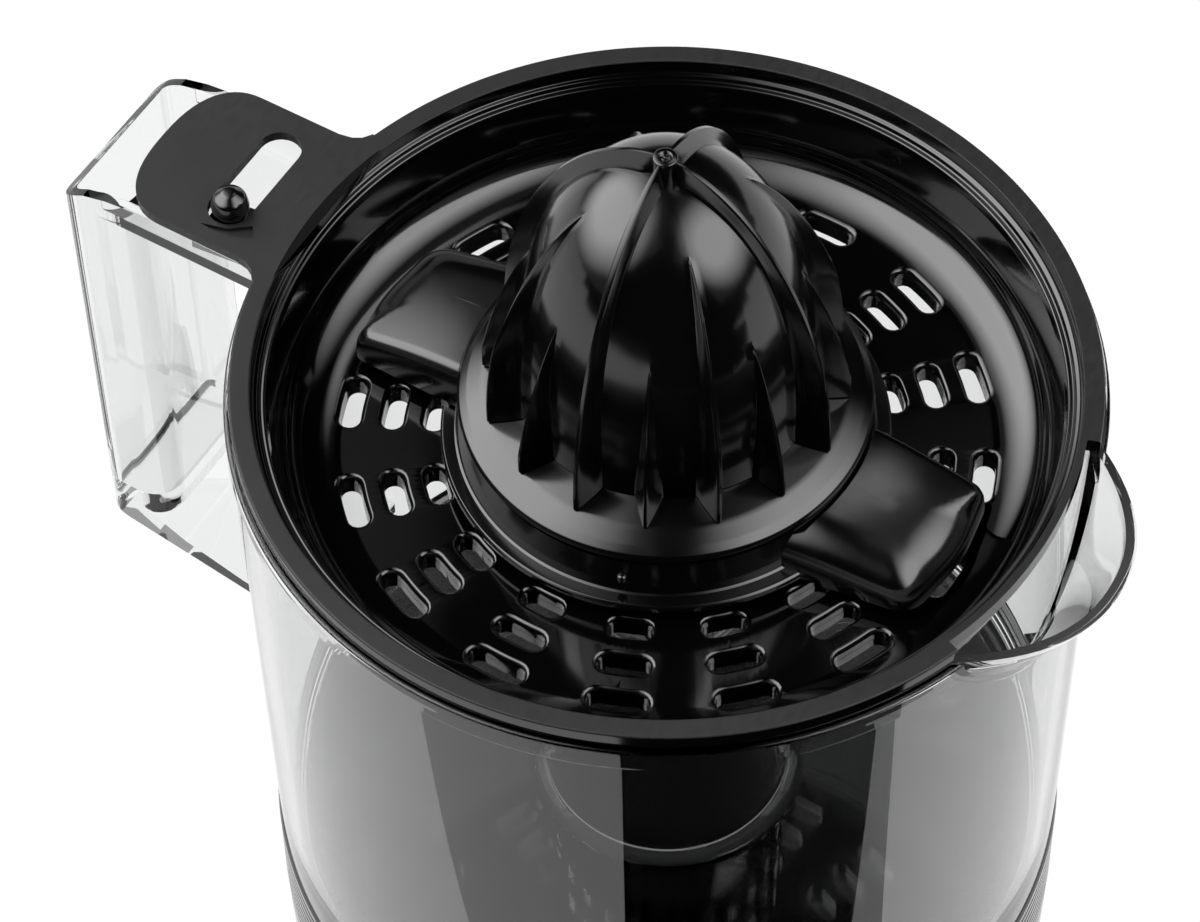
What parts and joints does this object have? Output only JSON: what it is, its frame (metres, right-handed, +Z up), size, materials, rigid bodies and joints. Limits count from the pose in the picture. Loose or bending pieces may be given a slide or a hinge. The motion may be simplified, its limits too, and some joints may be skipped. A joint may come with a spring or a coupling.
{
  "type": "citrus press juicer",
  "caption": "Electric citrus press with a clear handled jug over a motor base, a slotted strainer with a pulp lever, a scraper and a ribbed reaming cone.",
  "frame": {"origin": "centre of the bounding box on the table, under the four feet", "axes": "+Z up along the drive shaft, +X from the handle towards the spout, +Y across"},
  "size_m": [0.2174, 0.1622, 0.24],
  "materials": {
    "base_black": "glossy black",
    "cover_black": "satin black",
    "gloss_black": "glossy black, charcoal grain on the rim and the tab",
    "clear": "clear injection-moulded plastic with a light grey smoke at its edges",
    "rubber": "matte black",
    "steel": "ground steel",
    "zinc": "zinc plated",
    "bronze": "sintered bronze",
    "copper": "enamelled copper winding",
    "nylon": "natural nylon",
    "magnet": "grey laminated core"
  },
  "bodies": {
    "base": {"base_housing": "base_black", "bottom_cover": "cover_black", "foot_1": "rubber", "foot_2": "rubber", "foot_3": "rubber", "foot_4": "rubber", "cover_screw_1": "zinc", "cover_screw_2": "zinc", "cover_screw_3": "zinc", "cord_gland": "rubber", "gearbox_plate": "zinc", "plate_screw_1": "zinc", "plate_screw_2": "zinc", "plate_screw_3": "zinc", "motor_can": "steel", "motor_coil": "copper", "motor_end_cap": "nylon", "motor_screw_1": "zinc", "motor_screw_2": "zinc", "idler_axle": "steel", "lower_bush": "bronze", "upper_bush": "bronze", "switch_body": "cover_black"},
    "motor": {"motor_rotor": "magnet", "motor_shaft": "steel", "motor_pinion": "nylon"},
    "idler": {"idler_gear": "nylon"},
    "output": {"output_gear": "nylon", "return_spring": "steel"},
    "shaft": {"drive_shaft": "steel", "spring_collar": "zinc"},
    "switch": {"switch_plunger": "nylon"},
    "jug": {"jug": "clear"},
    "strainer": {"strainer": "gloss_black"},
    "shutter": {"pulp_shutter": "gloss_black", "pulp_knob": "gloss_black"},
    "washer": {"thrust_washer": "nylon"},
    "scraper": {"scraper": "gloss_black"},
    "small_cone": {"small_cone": "gloss_black"},
    "large_cone": {"large_cone": "gloss_black"}
  },
  "joints": [
    {"name": "jug_lift", "type": "slide", "parent": "base", "child": "jug", "axis": [0, 0, 1], "range_m": [0, 0.13]},
    {"name": "strainer_lift", "type": "slide", "parent": "jug", "child": "strainer", "axis": [0, 0, 1], "range_m": [0, 0.06]},
    {"name": "pulp_lever", "type": "hinge", "parent": "strainer", "child": "shutter", "pos_m": [0.0157, 0, 0.157], "axis": [0, 0, 1], "range_deg": [-11.25, 0]},
    {"name": "cone_set_lift", "type": "slide", "parent": "strainer", "child": "washer", "axis": [0, 0, 1], "range_m": [0, 0.04]},
    {"name": "cone_spin", "type": "hinge", "parent": "washer", "child": "scraper", "pos_m": [0.0157, 0, 0.17], "axis": [0, 0, 1], "continuous": true},
    {"name": "cone_press", "type": "slide", "parent": "scraper", "child": "small_cone", "axis": [0, 0, 1], "range_m": [-0.0016, 0], "stiffness_N_per_m": 4000, "springref_m": 0.0015},
    {"name": "large_cone_lift", "type": "slide", "parent": "small_cone", "child": "large_cone", "axis": [0, 0, 1], "range_m": [0, 0.07]},
    {"name": "output_spin", "type": "hinge", "parent": "base", "child": "output", "pos_m": [0.0157, 0, 0.04], "axis": [0, 0, 1], "continuous": true},
    {"name": "shaft_press", "type": "slide", "parent": "output", "child": "shaft", "axis": [0, 0, 1], "range_m": [-0.0016, 0], "deforming": ["return_spring"]},
    {"name": "idler_spin", "type": "hinge", "parent": "base", "child": "idler", "pos_m": [-0.0128, 0.02437, 0.04], "axis": [0, 0, 1], "continuous": true},
    {"name": "motor_spin", "type": "hinge", "parent": "base", "child": "motor", "pos_m": [-0.0303, 0, 0.04], "axis": [0, 0, 1], "continuous": true},
    {"name": "switch_press", "type": "slide", "parent": "base", "child": "switch", "axis": [0, 0, 1], "range_m": [-0.0016, 0]}
  ],
  "couplings": [
    {"joint": "output_spin", "follows": "cone_spin", "ratio": 1},
    {"joint": "idler_spin", "follows": "cone_spin", "ratio": -4},
    {"joint": "motor_spin", "follows": "cone_spin", "ratio": 12},
    {"joint": "shaft_press", "follows": "cone_press", "ratio": 1},
    {"joint": "switch_press", "follows": "cone_press", "ratio": 1}
  ]
}
